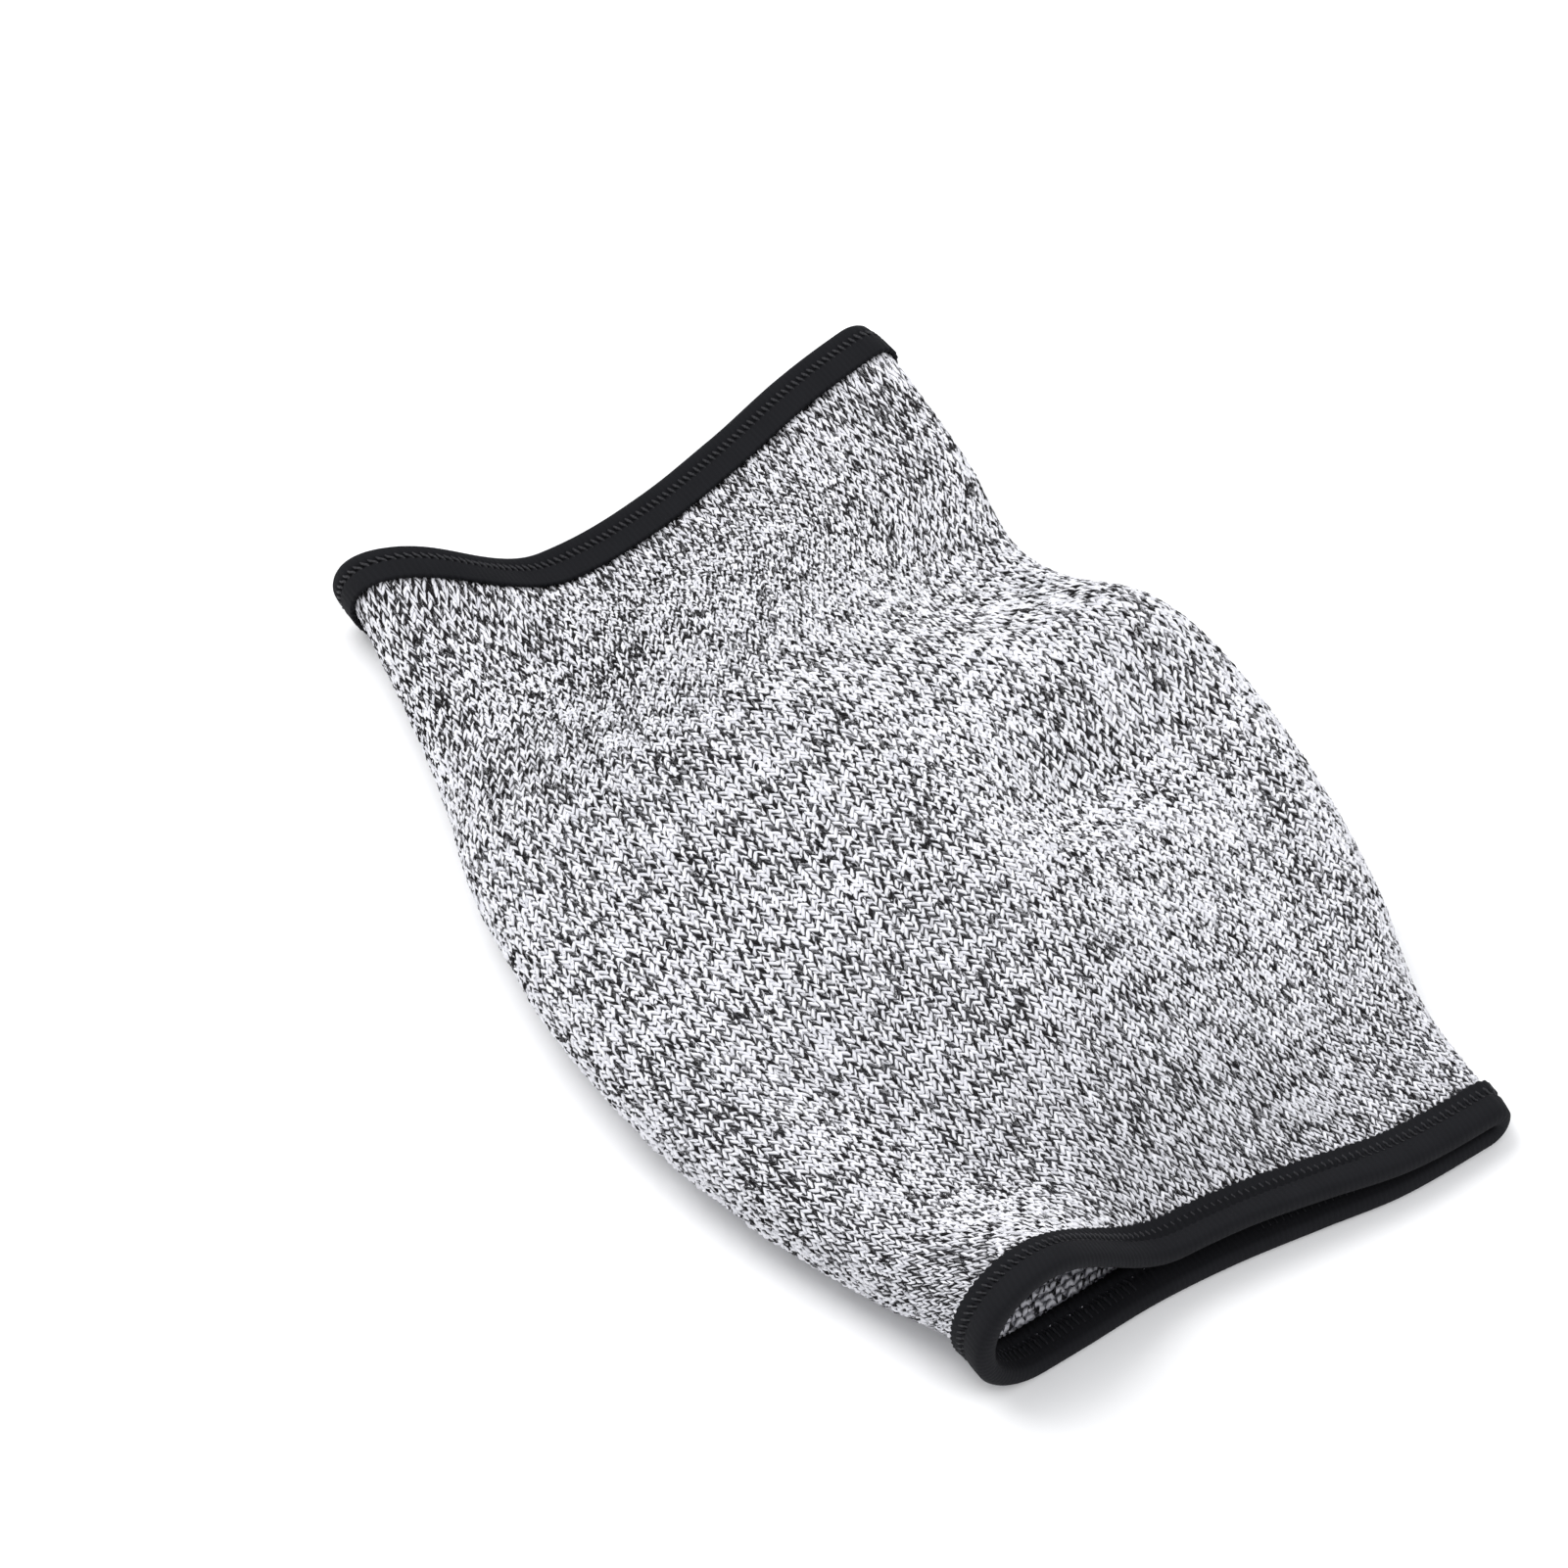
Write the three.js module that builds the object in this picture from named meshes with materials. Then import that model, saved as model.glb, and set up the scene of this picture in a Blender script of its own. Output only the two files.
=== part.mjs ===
// Cut resistant sleeve, lying on a table by itself: a knitted tube that swells in the middle,
// with an elastic binding folded over the knitted edge at each end. Millimetres, +Z up.
// The sleeve's length runs along Y, with the near cuff at -Y and the far cuff at +Y.

import * as THREE from "three";

// Sizes of the sleeve as it lies, outside of the knit.
const SLEEVE_LENGTH = 222.5;
const BODY_WIDTH = 145;
const BODY_HEIGHT = 41;
const NEAR_CUFF_WIDTH = 103;
const FAR_CUFF_WIDTH = 119;

// Walls of the two materials, and the clearance between them.
const KNIT_WALL = 1.5;
const BINDING_WALL = 0.8;
const BINDING_WIDTH = 8.3;
const BINDING_CLEARANCE = 0.3;

// Heights of the open loops at the left of both cuffs, and what is left open where a cuff lies shut.
const NEAR_LOOP_HEIGHT = 26.5;
const FAR_LOOP_HEIGHT = 19.5;
const SHUT_CUFF_GAP = 0.9;

// How far the cloth is drawn in at the deepest place of each edge, and the lower layer's share.
const NEAR_EDGE_DRAW = 4;
const FAR_EDGE_DRAW = 23;
const LOWER_LAYER_DRAW = 0.85;

// Facets around the sleeve and rings along it. Where a section turns through a radian it gets as
// many more facets as on this length of straight cloth.
const FACETS_AROUND = 56;
const KNIT_RINGS = 36;
const STRETCHES_AROUND = 5;
const STEPS_PER_STRETCH = 40;
const MILLIMETRES_PER_RADIAN = 12;
const OUTER_FOLD_STEPS = 4;
const INNER_FOLD_STEPS = 2;

const BINDING_THICKNESS = BINDING_WALL + BINDING_CLEARANCE;
const SHUT_HEIGHT = 2 * (KNIT_WALL + BINDING_THICKNESS) + SHUT_CUFF_GAP;

// Cross sections from the near cuff to the far one. left and right are the distances of the two
// side edges from the sleeve's axis, and the three heights are those of the left edge, the middle
// and the right edge. A span is the share of the width over which an edge's height turns into
// the middle's.
const SECTIONS = [
  {
    along: 0.0,
    left: 0.545 * NEAR_CUFF_WIDTH,
    right: 0.505 * NEAR_CUFF_WIDTH,
    leftHeight: NEAR_LOOP_HEIGHT,
    middleHeight: 1.75 * SHUT_HEIGHT,
    rightHeight: 1.1 * SHUT_HEIGHT,
    leftSpan: 0.32,
    rightSpan: 0.6,
  },
  {
    along: 0.035,
    left: 0.548 * NEAR_CUFF_WIDTH,
    right: 0.515 * NEAR_CUFF_WIDTH,
    leftHeight: 0.95 * NEAR_LOOP_HEIGHT,
    middleHeight: 1.45 * SHUT_HEIGHT,
    rightHeight: SHUT_HEIGHT,
    leftSpan: 0.34,
    rightSpan: 0.6,
  },
  {
    along: 0.12,
    left: 0.447 * BODY_WIDTH,
    right: 0.364 * BODY_WIDTH,
    leftHeight: 0.56 * BODY_HEIGHT,
    middleHeight: 0.6 * BODY_HEIGHT,
    rightHeight: 0.34 * BODY_HEIGHT,
    leftSpan: 0.45,
    rightSpan: 0.5,
  },
  {
    along: 0.22,
    left: 0.51 * BODY_WIDTH,
    right: 0.405 * BODY_WIDTH,
    leftHeight: 0.6 * BODY_HEIGHT,
    middleHeight: 0.88 * BODY_HEIGHT,
    rightHeight: 0.5 * BODY_HEIGHT,
    leftSpan: 0.5,
    rightSpan: 0.5,
  },
  {
    along: 0.33,
    left: 0.549 * BODY_WIDTH,
    right: 0.435 * BODY_WIDTH,
    leftHeight: 0.62 * BODY_HEIGHT,
    middleHeight: 0.98 * BODY_HEIGHT,
    rightHeight: 0.58 * BODY_HEIGHT,
    leftSpan: 0.5,
    rightSpan: 0.5,
  },
  {
    along: 0.45,
    left: 0.56 * BODY_WIDTH,
    right: 0.446 * BODY_WIDTH,
    leftHeight: 0.62 * BODY_HEIGHT,
    middleHeight: BODY_HEIGHT,
    rightHeight: 0.64 * BODY_HEIGHT,
    leftSpan: 0.5,
    rightSpan: 0.5,
  },
  {
    along: 0.53,
    left: 0.549 * BODY_WIDTH,
    right: 0.425 * BODY_WIDTH,
    leftHeight: 0.6 * BODY_HEIGHT,
    middleHeight: 0.98 * BODY_HEIGHT,
    rightHeight: 0.66 * BODY_HEIGHT,
    leftSpan: 0.5,
    rightSpan: 0.5,
  },
  {
    along: 0.61,
    left: 0.532 * BODY_WIDTH,
    right: 0.365 * BODY_WIDTH,
    leftHeight: 0.58 * BODY_HEIGHT,
    middleHeight: 0.92 * BODY_HEIGHT,
    rightHeight: 0.56 * BODY_HEIGHT,
    leftSpan: 0.5,
    rightSpan: 0.5,
  },
  {
    along: 0.7,
    left: 0.495 * BODY_WIDTH,
    right: 0.347 * BODY_WIDTH,
    leftHeight: 0.56 * BODY_HEIGHT,
    middleHeight: 0.8 * BODY_HEIGHT,
    rightHeight: 0.42 * BODY_HEIGHT,
    leftSpan: 0.48,
    rightSpan: 0.5,
  },
  {
    along: 0.82,
    left: 0.458 * BODY_WIDTH,
    right: 0.385 * BODY_WIDTH,
    leftHeight: 0.52 * BODY_HEIGHT,
    middleHeight: 0.55 * BODY_HEIGHT,
    rightHeight: 0.32 * BODY_HEIGHT,
    leftSpan: 0.4,
    rightSpan: 0.5,
  },
  {
    along: 0.96,
    left: 0.52 * FAR_CUFF_WIDTH,
    right: 0.493 * FAR_CUFF_WIDTH,
    leftHeight: 0.98 * FAR_LOOP_HEIGHT,
    middleHeight: 1.35 * SHUT_HEIGHT,
    rightHeight: 1.65 * SHUT_HEIGHT,
    leftSpan: 0.28,
    rightSpan: 0.4,
  },
  {
    along: 1.0,
    left: 0.518 * FAR_CUFF_WIDTH,
    right: 0.475 * FAR_CUFF_WIDTH,
    leftHeight: FAR_LOOP_HEIGHT,
    middleHeight: 1.6 * SHUT_HEIGHT,
    rightHeight: 1.9 * SHUT_HEIGHT,
    leftSpan: 0.25,
    rightSpan: 0.35,
  },
];

// How far each edge is drawn in towards the middle of the sleeve across its width, from its left
// corner to its right one, as shares of the two draws above. Below 0 the edge stands out.
const EDGES = [
  { across: 0.0, near: -0.6, far: 0.48 },
  { across: 0.1, near: -0.35, far: 0.78 },
  { across: 0.2, near: -0.1, far: 0.96 },
  { across: 0.35, near: 0.3, far: 1.0 },
  { across: 0.5, near: 0.3, far: 0.86 },
  { across: 0.65, near: 0.0, far: 0.61 },
  { across: 0.8, near: -0.3, far: 0.34 },
  { across: 1.0, near: 0.1, far: 0.08 },
];

// The share of the length over which an edge's shape still moves the cloth behind it.
const EDGE_REACH = 0.5;

// Ridges (rise above 0) and dents (below 0) of the upper layer. across and along are the place,
// as shares of the body's width from the axis and of the length from the near end. turn is the
// direction of the fold in degrees from the X axis. reach and breadth are half its length and
// half its width as shares of the body's width, and rise is a share of the body's height.
const FOLDS = [
  { across: -0.28, along: 0.8, turn: 100, reach: 0.17, breadth: 0.055, rise: -0.15 },
  { across: 0.085, along: 0.365, turn: 15, reach: 0.06, breadth: 0.05, rise: -0.09 },
  { across: 0.2, along: 0.4, turn: 22, reach: 0.11, breadth: 0.045, rise: -0.08 },
  { across: -0.02, along: 0.53, turn: 110, reach: 0.16, breadth: 0.07, rise: -0.07 },
  { across: -0.3, along: 0.185, turn: 115, reach: 0.12, breadth: 0.05, rise: -0.13 },
  { across: -0.1, along: 0.22, turn: 98, reach: 0.3, breadth: 0.1, rise: 0.06 },
  { across: 0.32, along: 0.52, turn: 80, reach: 0.09, breadth: 0.08, rise: 0.13 },
  { across: 0.2, along: 0.7, turn: 95, reach: 0.12, breadth: 0.06, rise: -0.06 },
  { across: -0.42, along: 0.53, turn: 80, reach: 0.08, breadth: 0.04, rise: -0.05 },
];

// The share of the length over which folds fade out at the cuffs.
const FOLD_FADE = 0.08;

const smooth = (low, high, x) => THREE.MathUtils.smoothstep(x, low, high);

// A column of a table at a place of its key column, on a smooth curve through the rows.
function tableValue(table, key, column, place) {
  const last = table.length - 1;
  const at = THREE.MathUtils.clamp(place, table[0][key], table[last][key]);
  let i = 0;
  while (i < last - 1 && at > table[i + 1][key]) i++;
  const slope = (k) => {
    const before = table[Math.max(k - 1, 0)];
    const after = table[Math.min(k + 1, last)];
    return (after[column] - before[column]) / (after[key] - before[key]);
  };
  const width = table[i + 1][key] - table[i][key];
  const s = (at - table[i][key]) / width;
  const start = table[i][column];
  const end = table[i + 1][column];
  const bend = (2 * s - 3) * s * s;
  return (
    start * (1 + bend) -
    end * bend +
    slope(i) * width * s * (1 - s) * (1 - s) -
    slope(i + 1) * width * s * s * (1 - s)
  );
}

// One cross section: its edges, end radii and the height of its upper layer across the width.
function sectionAt(along) {
  const value = (column) => tableValue(SECTIONS, "along", column, along);
  const leftRadius = value("leftHeight") / 2;
  const rightRadius = value("rightHeight") / 2;
  const middleRadius = value("middleHeight") / 2;
  const leftSpan = value("leftSpan");
  const rightSpan = value("rightSpan");
  const fall = (q) => (q < 1 ? (1 + Math.cos(Math.PI * q)) / 2 : 0);
  return {
    start: leftRadius - value("left"),
    end: value("right") - rightRadius,
    left: -value("left"),
    right: value("right"),
    radius: (s) =>
      middleRadius +
      (leftRadius - middleRadius) * fall(s / leftSpan) +
      (rightRadius - middleRadius) * fall((1 - s) / rightSpan),
  };
}

// The knit is held up beside its bindings, which rest on the table, and rests itself between them.
function restHeight(along) {
  const fromEnd = Math.min(along, 1 - along) * SLEEVE_LENGTH;
  return BINDING_THICKNESS * (1 - smooth(BINDING_WIDTH, 3 * BINDING_WIDTH, fromEnd));
}

// The folds' height at a place of the upper layer. They fade out towards both cuffs.
function foldRise(x, along) {
  let rise = 0;
  for (const fold of FOLDS) {
    const turn = THREE.MathUtils.degToRad(fold.turn);
    const dx = x / BODY_WIDTH - fold.across;
    const dy = ((along - fold.along) * SLEEVE_LENGTH) / BODY_WIDTH;
    const alongFold = (dx * Math.cos(turn) + dy * Math.sin(turn)) / fold.reach;
    const acrossFold = (dy * Math.cos(turn) - dx * Math.sin(turn)) / fold.breadth;
    rise += fold.rise * Math.exp(-(alongFold ** 2 + acrossFold ** 2) / 2);
  }
  return rise * BODY_HEIGHT * smooth(0, FOLD_FADE, along) * smooth(0, FOLD_FADE, 1 - along);
}

// How far a place is moved along the sleeve by the shape of the two edges.
function edgeShift(along, across, upper) {
  const layer = LOWER_LAYER_DRAW + (1 - LOWER_LAYER_DRAW) * upper;
  const near = NEAR_EDGE_DRAW * tableValue(EDGES, "across", "near", across);
  const far = FAR_EDGE_DRAW * tableValue(EDGES, "across", "far", across);
  return near * smooth(1 - EDGE_REACH, 1, 1 - along) - far * layer * smooth(1 - EDGE_REACH, 1, along);
}

// A place around the section, from the middle of the underside by way of the right edge:
// stretch 0 is the right half of the underside, 1 the right edge, 2 the top, 3 the left edge
// and 4 the left half of the underside.
function surfacePoint(section, place, along, outward) {
  const { stretch, share } = place;
  const half = Math.PI / 2;
  let spine;
  let angle;
  if (stretch === 0) [spine, angle] = [0.5 + share / 2, -half];
  else if (stretch === 1) [spine, angle] = [1, -half + Math.PI * share];
  else if (stretch === 2) [spine, angle] = [1 - share, half];
  else if (stretch === 3) [spine, angle] = [0, half + Math.PI * share];
  else [spine, angle] = [share / 2, 3 * half];
  const radius = section.radius(spine);
  const reach = radius + outward;
  const centre = section.start + (section.end - section.start) * spine;
  const x = centre + reach * Math.cos(angle);
  const faceX = centre + radius * Math.cos(angle);
  const upper = ((1 + Math.sin(angle)) / 2) ** 2;
  const across = (faceX - section.left) / (section.right - section.left);
  const y = (along - 0.5) * SLEEVE_LENGTH + edgeShift(along, across, upper);
  const z = restHeight(along) + radius + reach * Math.sin(angle) + upper * foldRise(faceX, along);
  return new THREE.Vector3(x, y, z);
}

// The places of the facets' corners around a section, closer together where it turns.
function placesAround(section, along) {
  const places = [];
  for (let stretch = 0; stretch < STRETCHES_AROUND; stretch++) {
    for (let i = 0; i < STEPS_PER_STRETCH; i++) places.push({ stretch, share: i / STEPS_PER_STRETCH });
  }
  const points = places.map((place) => surfacePoint(section, place, along, 0).setY(0));
  const count = points.length;
  const measure = [0];
  for (let i = 0; i < count; i++) {
    const step = points[(i + 1) % count].clone().sub(points[i]);
    const next = points[(i + 2) % count].clone().sub(points[(i + 1) % count]);
    const turned = step.lengthSq() * next.lengthSq() > 0 ? step.angleTo(next) : 0;
    measure.push(measure[i] + step.length() + MILLIMETRES_PER_RADIAN * turned);
  }
  const chosen = [];
  let at = 0;
  for (let facet = 0; facet < FACETS_AROUND; facet++) {
    const wanted = (measure[count] * facet) / FACETS_AROUND;
    while (measure[at + 1] <= wanted) at++;
    const part = (wanted - measure[at]) / (measure[at + 1] - measure[at]);
    const { stretch, share } = places[at];
    chosen.push({ stretch, share: share + part / STEPS_PER_STRETCH });
  }
  return chosen;
}

// A closed profile of { from, outward } points, from being the distance from the near end and
// outward the distance out of the knit's outer face, carried once around the sleeve.
function sweptAround(profile) {
  const positions = [];
  for (const { from, outward } of profile) {
    const along = from / SLEEVE_LENGTH;
    const section = sectionAt(along);
    for (const place of placesAround(section, along)) {
      positions.push(...surfacePoint(section, place, along, outward));
    }
  }
  const index = [];
  const rows = profile.length;
  for (let row = 0; row < rows; row++) {
    const here = row * FACETS_AROUND;
    const next = ((row + 1) % rows) * FACETS_AROUND;
    for (let i = 0; i < FACETS_AROUND; i++) {
      const j = (i + 1) % FACETS_AROUND;
      index.push(here + i, next + i, next + j);
      index.push(here + i, next + j, here + j);
    }
  }
  const geometry = new THREE.BufferGeometry();
  geometry.setAttribute("position", new THREE.Float32BufferAttribute(positions, 3));
  geometry.setIndex(index);
  geometry.computeVertexNormals();
  return geometry;
}

// Distances from the near end of the rings that the knit and the near binding share.
const BINDING_RINGS = [BINDING_THICKNESS, (BINDING_THICKNESS + BINDING_WIDTH) / 2, BINDING_WIDTH];

// The knitted tube: its outer face from the near edge to the far one, and its inner face back.
function knitProfile() {
  const nearRings = BINDING_RINGS;
  const farRings = BINDING_RINGS.map((from) => SLEEVE_LENGTH - from).reverse();
  const between = KNIT_RINGS - nearRings.length - farRings.length;
  const step = (SLEEVE_LENGTH - 2 * BINDING_WIDTH) / (between + 1);
  const rings = [...nearRings];
  for (let ring = 1; ring <= between; ring++) rings.push(BINDING_WIDTH + step * ring);
  rings.push(...farRings);
  const outer = rings.map((from) => ({ from, outward: 0 }));
  const inner = rings.map((from) => ({ from, outward: -KNIT_WALL })).reverse();
  return [...outer, ...inner];
}

// The binding's section: a tape folded over the knitted edge, round at the fold.
function bindingProfile() {
  const middle = -KNIT_WALL / 2;
  const outerReach = KNIT_WALL / 2 + BINDING_THICKNESS;
  const innerReach = KNIT_WALL / 2 + BINDING_CLEARANCE;
  const fold = (reach, depth, steps) => {
    const points = [];
    for (let i = 0; i <= steps; i++) {
      const angle = (Math.PI * i) / steps;
      const from = BINDING_THICKNESS - depth * Math.sin(angle);
      points.push({ from, outward: middle + reach * Math.cos(angle) });
    }
    return points;
  };
  const leg = (outward) => BINDING_RINGS.slice(1).map((from) => ({ from, outward }));
  return [
    ...leg(middle + innerReach),
    ...leg(middle + outerReach).reverse(),
    ...fold(outerReach, BINDING_THICKNESS, OUTER_FOLD_STEPS),
    ...leg(middle - outerReach),
    ...leg(middle - innerReach).reverse(),
    ...fold(innerReach, BINDING_CLEARANCE, INNER_FOLD_STEPS).reverse(),
  ];
}

const material = (color, roughness) =>
  new THREE.MeshStandardMaterial({ color, roughness, metalness: 0 });

const knitMaterial = material(0xb9b9bf, 0.95);
const bindingMaterial = material(0x202126, 0.85);

function piece(name, profile, finish) {
  const mesh = new THREE.Mesh(sweptAround(profile), finish);
  mesh.name = name;
  return mesh;
}

const nearProfile = bindingProfile().reverse();
const farProfile = bindingProfile().map(({ from, outward }) => ({
  from: SLEEVE_LENGTH - from,
  outward,
}));

const group = new THREE.Group();
group.add(piece("knit_body", knitProfile(), knitMaterial));
group.add(piece("near_binding", nearProfile, bindingMaterial));
group.add(piece("far_binding", farProfile, bindingMaterial));

// The origin is below the middle of the whole sleeve, on the table.
const extent = new THREE.Box3().setFromObject(group);
group.position.set(-(extent.min.x + extent.max.x) / 2, -(extent.min.y + extent.max.y) / 2, 0);

export default group;
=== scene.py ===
"""Looks of the cut resistant sleeve: knitted loops on a fine cloth wall, and a stitched elastic
tape folded over each open end."""

import logging
import math
from collections.abc import Sequence
from dataclasses import dataclass, field
from enum import Enum

import bpy
import numpy as np
from mathutils import Matrix, Vector


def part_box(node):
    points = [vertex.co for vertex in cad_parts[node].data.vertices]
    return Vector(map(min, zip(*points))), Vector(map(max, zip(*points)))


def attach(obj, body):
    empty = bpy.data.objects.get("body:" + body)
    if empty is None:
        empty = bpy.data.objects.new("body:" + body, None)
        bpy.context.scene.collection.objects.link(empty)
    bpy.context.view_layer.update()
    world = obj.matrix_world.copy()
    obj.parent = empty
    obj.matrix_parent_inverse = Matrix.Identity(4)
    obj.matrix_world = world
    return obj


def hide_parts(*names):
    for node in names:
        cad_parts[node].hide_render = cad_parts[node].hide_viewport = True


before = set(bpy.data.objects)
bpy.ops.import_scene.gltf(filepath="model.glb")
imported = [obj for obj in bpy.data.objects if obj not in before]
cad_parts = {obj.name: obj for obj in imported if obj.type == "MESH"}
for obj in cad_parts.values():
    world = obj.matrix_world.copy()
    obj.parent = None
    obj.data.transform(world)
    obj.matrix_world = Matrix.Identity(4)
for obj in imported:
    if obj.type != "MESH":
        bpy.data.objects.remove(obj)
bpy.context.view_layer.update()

LOG = logging.getLogger("sleeve")
METRES = 0.001  # one millimetre, the unit of the shape's sizes
CLOTH_MAP = "cloth"
OUTER_ASIDE = 250.0  # where the outer face lies on the map, in millimetres
FIRST_COLUMN = 200.0  # added to the loops' column numbers, to keep them positive
FULL_TURN = 2 * math.pi


class Slot(Enum):
    """The record's material slots."""

    KNIT = "marl_knit"
    BINDING = "elastic_binding"


class End(Enum):
    """The two open ends of the sleeve."""

    NEAR = "near"
    FAR = "far"


class Socket:
    """A node's output that takes ordinary arithmetic; each operation adds a Math node."""

    def __init__(self, nodes: "Nodes", output: bpy.types.NodeSocket) -> None:
        """Keeps the output and the tree that it is in."""
        self.nodes = nodes
        self.output = output

    def __add__(self, other: object) -> "Socket":
        """Returns self + other."""
        return self.nodes.math("ADD", self, other)

    def __radd__(self, other: object) -> "Socket":
        """Returns other + self."""
        return self.nodes.math("ADD", other, self)

    def __sub__(self, other: object) -> "Socket":
        """Returns self - other."""
        return self.nodes.math("SUBTRACT", self, other)

    def __rsub__(self, other: object) -> "Socket":
        """Returns other - self."""
        return self.nodes.math("SUBTRACT", other, self)

    def __mul__(self, other: object) -> "Socket":
        """Returns self times other."""
        return self.nodes.math("MULTIPLY", self, other)

    def __rmul__(self, other: object) -> "Socket":
        """Returns other times self."""
        return self.nodes.math("MULTIPLY", other, self)

    def __truediv__(self, other: object) -> "Socket":
        """Returns self over other."""
        return self.nodes.math("DIVIDE", self, other)

    def other(self, name: str) -> "Socket":
        """Returns another output of the same node."""
        return Socket(self.nodes, self.output.node.outputs[name])


class Nodes:
    """Adds nodes to one shader tree or geometry tree."""

    def __init__(self, tree: bpy.types.NodeTree) -> None:
        """Keeps the tree."""
        self.tree = tree

    def node(
        self,
        kind: str,
        settings: dict[str, object] | None = None,
        inputs: dict[int | str, object] | None = None,
        output: int | str | None = 0,
    ) -> Socket | None:
        """Adds a node.

        Args:
            kind: the node's type.
            settings: its properties, which are set first.
            inputs: values or sockets, by the input's name or number.
            output: the name or number of the wanted output, or None where the node has none.

        Returns:
            The output, or None.
        """
        made = self.tree.nodes.new(kind)
        for name, value in (settings or {}).items():
            setattr(made, name, value)
        for name, value in (inputs or {}).items():
            if isinstance(value, Socket):
                self.tree.links.new(value.output, made.inputs[name])
            else:
                made.inputs[name].default_value = value
        return None if output is None else Socket(self, made.outputs[output])

    def math(self, operation: str, *values: object) -> Socket:
        """Returns a Math node's result for the values."""
        return self.node("ShaderNodeMath", {"operation": operation}, dict(enumerate(values)))

    def vector(self, x: object, y: object, z: object) -> Socket:
        """Returns a vector of three values."""
        return self.node("ShaderNodeCombineXYZ", None, {0: x, 1: y, 2: z})

    def parts(self, vector: Socket) -> tuple[Socket, Socket, Socket]:
        """Returns a vector's three values."""
        x = self.node("ShaderNodeSeparateXYZ", None, {0: vector})
        return x, x.other("Y"), x.other("Z")

    def vectors(self, operation: str, *values: object) -> Socket:
        """Returns a Vector Math node's vector for the values."""
        return self.node("ShaderNodeVectorMath", {"operation": operation}, dict(enumerate(values)))

    def scaled(self, vector: Socket, scale: object) -> Socket:
        """Returns a vector times a value."""
        return self.node(
            "ShaderNodeVectorMath", {"operation": "SCALE"}, {0: vector, "Scale": scale}
        )

    def wave(self, turns: Socket) -> Socket:
        """Returns a wave from 0 to 1 that is 0 at each whole turn."""
        return self.math("COSINE", turns * FULL_TURN) * -0.5 + 0.5

    def step(self, low: float, high: float, value: Socket) -> Socket:
        """Returns a soft step from 0 at low to 1 at high."""
        return self.node(
            "ShaderNodeMapRange",
            {"interpolation_type": "SMOOTHSTEP"},
            {"Value": value, "From Min": low, "From Max": high},
        )

    def noise(self, place: Socket, scale: float, detail: float = 1.0) -> Socket:
        """Returns soft noise of about 0 to 1 at a place, with scale features to a unit."""
        return self.node(
            "ShaderNodeTexNoise", None, {"Vector": place, "Scale": scale, "Detail": detail}
        )

    def blend(self, share: object, first: object, second: object) -> Socket:
        """Returns the first colour, turning into the second as share goes from 0 to 1."""
        return self.node(
            "ShaderNodeMix", {"data_type": "RGBA"}, {0: share, 6: first, 7: second}, output=2
        )


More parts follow.
